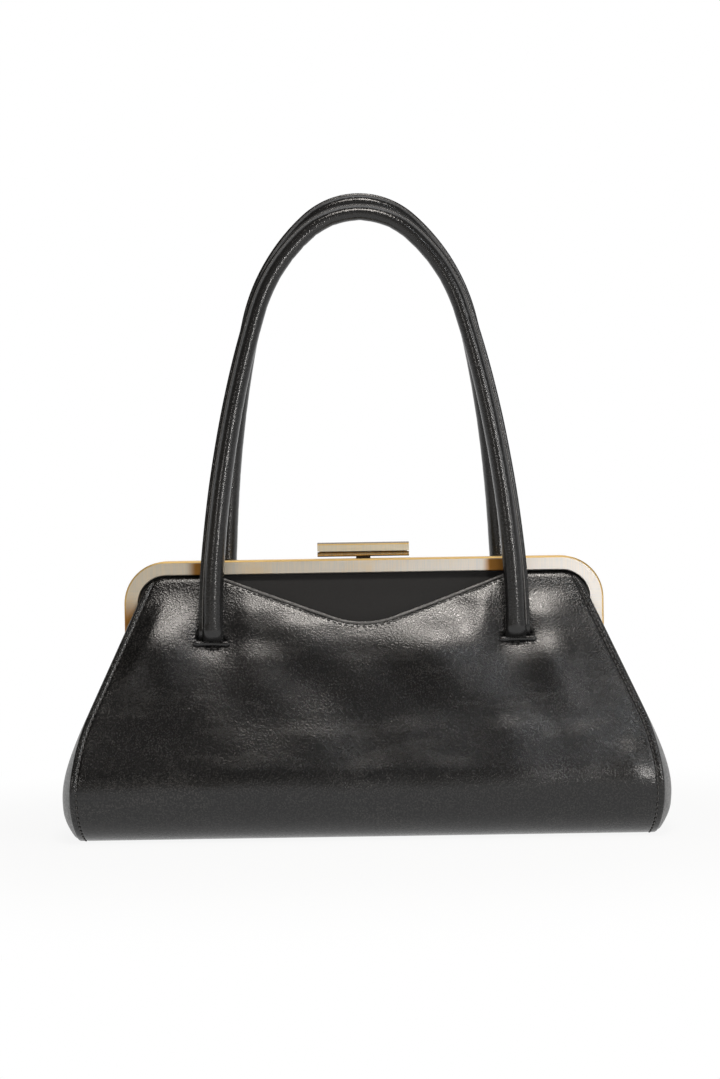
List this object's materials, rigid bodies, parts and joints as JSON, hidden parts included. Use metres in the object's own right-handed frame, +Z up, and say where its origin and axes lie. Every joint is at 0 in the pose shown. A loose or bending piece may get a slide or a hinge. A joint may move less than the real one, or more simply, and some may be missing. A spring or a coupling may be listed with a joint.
{
  "type": "kiss lock frame purse",
  "caption": "Frame purse with a brass channel frame on riveted side hinges, a kiss lock of two bars, a soft bag with bowed ends and two rolled leather handles.",
  "frame": {"origin": "middle of the underside of the base", "axes": "+X to the right seen from the front, +Y to the back, +Z up"},
  "size_m": [0.3056, 0.094, 0.3237],
  "materials": {
    "frame_brass": "brushed pale gold",
    "filler_cord": "twisted paper",
    "yoke_leather": "matte black",
    "panel_leather": "glazed black with a fine grain",
    "handle_leather": "glazed black",
    "handle_filler": "plain",
    "lining_cloth": "black cloth",
    "base_stiffener": "plain board"
  },
  "bodies": {
    "bag": {"base_panel": "panel_leather", "base_board": "base_stiffener", "base_lining": "lining_cloth", "front_panel_lower": "panel_leather", "front_panel_fold": "panel_leather", "front_lining": "lining_cloth", "rear_panel_lower": "panel_leather", "rear_panel_fold": "panel_leather", "rear_lining": "lining_cloth", "left_gusset": "panel_leather", "left_gusset_lining": "lining_cloth", "right_gusset": "panel_leather", "right_gusset_lining": "lining_cloth"},
    "front_half": {"front_frame": "frame_brass", "front_frame_cord": "filler_cord", "front_yoke": "yoke_leather", "front_panel_upper": "panel_leather", "front_kiss_bar": "frame_brass", "front_handle_necks": "handle_leather", "front_handle_patches": "yoke_leather", "front_handle_welts": "panel_leather"},
    "front_handle": {"front_handle_cover": "handle_leather", "front_handle_core": "handle_filler"},
    "rear_half": {"rear_frame": "frame_brass", "rear_frame_cord": "filler_cord", "rear_yoke": "yoke_leather", "rear_panel_upper": "panel_leather", "rear_kiss_bar": "frame_brass", "rear_handle_necks": "handle_leather", "rear_handle_patches": "yoke_leather", "rear_handle_welts": "panel_leather", "left_hinge_rivet": "frame_brass", "right_hinge_rivet": "frame_brass"},
    "rear_handle": {"rear_handle_cover": "handle_leather", "rear_handle_core": "handle_filler"}
  },
  "joints": [
    {"name": "front_frame_open", "type": "hinge", "parent": "bag", "child": "front_half", "pos_m": [0, 0, 0.08], "axis": [1, 0, 0], "range_deg": [0, 30], "deforming": ["front_panel_fold"]},
    {"name": "front_handle_swing", "type": "hinge", "parent": "front_half", "child": "front_handle", "pos_m": [0, -0.0214, 0.1], "axis": [1, 0, 0], "range_deg": [0, 70], "deforming": ["front_handle_necks"]},
    {"name": "rear_frame_open", "type": "hinge", "parent": "bag", "child": "rear_half", "pos_m": [0, 0, 0.08], "axis": [-1, 0, 0], "range_deg": [0, 30], "deforming": ["rear_panel_fold"]},
    {"name": "rear_handle_swing", "type": "hinge", "parent": "rear_half", "child": "rear_handle", "pos_m": [0, 0.0214, 0.1], "axis": [-1, 0, 0], "range_deg": [0, 70], "deforming": ["rear_handle_necks"]}
  ]
}
